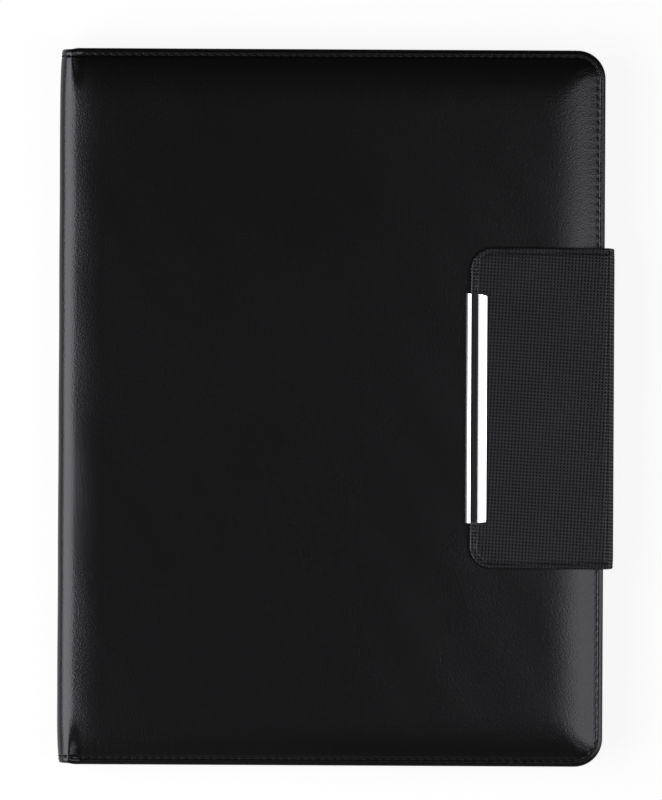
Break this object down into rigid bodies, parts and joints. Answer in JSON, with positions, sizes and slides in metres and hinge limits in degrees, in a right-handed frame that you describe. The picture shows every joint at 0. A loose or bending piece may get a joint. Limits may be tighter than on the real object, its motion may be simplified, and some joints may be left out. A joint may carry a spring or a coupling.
{
  "type": "conference folder",
  "caption": "Black padded A4 conference folder with a wide embossed closing strap, a metal edge clip, a writing pad, pockets and a pen loop.",
  "frame": {"origin": "middle of the base, under the closed folder lying on its back cover", "axes": "+X from the spine to the fore edge, +Y up the cover to its head, +Z out of the front cover"},
  "size_m": [0.2438, 0.315, 0.0269],
  "materials": {
    "smooth_leather": "satin",
    "embossed_leather": "satin",
    "lining": "matte",
    "grey_board": "matte",
    "padding": "matte",
    "page_paper": "matte",
    "woven_tape": "matte",
    "clip_metal": "mirror polished",
    "magnet_metal": "plated"
  },
  "bodies": {
    "back_cover": {"back_skin": "smooth_leather", "back_padding": "padding", "back_board": "grey_board", "back_lining": "lining", "pad_card": "grey_board", "pad_sleeve": "smooth_leather", "pad_pages": "page_paper", "pad_tape": "woven_tape", "pen_loop": "woven_tape", "strap_root": "embossed_leather"},
    "spine": {"spine_skin": "smooth_leather", "spine_board": "grey_board", "spine_lining": "lining"},
    "front_cover": {"front_skin": "smooth_leather", "front_padding": "padding", "front_board": "grey_board", "front_lining": "lining", "document_pocket": "smooth_leather", "card_pocket_back": "smooth_leather", "card_pocket_middle": "smooth_leather", "card_pocket_front": "smooth_leather", "cover_magnet_upper": "magnet_metal", "cover_magnet_lower": "magnet_metal"},
    "strip": {"strip_skin": "embossed_leather", "strip_lining": "smooth_leather"},
    "flap": {"flap_skin": "embossed_leather", "flap_stiffener": "grey_board", "flap_lining": "smooth_leather", "flap_magnet_upper": "magnet_metal", "flap_magnet_lower": "magnet_metal", "metal_clip": "clip_metal"}
  },
  "joints": [
    {"name": "spine_fold", "type": "hinge", "parent": "back_cover", "child": "spine", "pos_m": [-0.1204, 0, 0.0015], "axis": [0, -1, 0], "range_deg": [0, 90]},
    {"name": "cover_fold", "type": "hinge", "parent": "spine", "child": "front_cover", "pos_m": [-0.1204, 0, 0.0209], "axis": [0, -1, 0], "range_deg": [0, 90]},
    {"name": "strip_fold", "type": "hinge", "parent": "back_cover", "child": "strip", "pos_m": [0.12143, 0, 0.00381], "axis": [0, 1, 0], "range_deg": [0, 94]},
    {"name": "flap_fold", "type": "hinge", "parent": "strip", "child": "flap", "pos_m": [0.12005, 0, 0.02509], "axis": [0, 1, 0], "range_deg": [0, 86]}
  ]
}
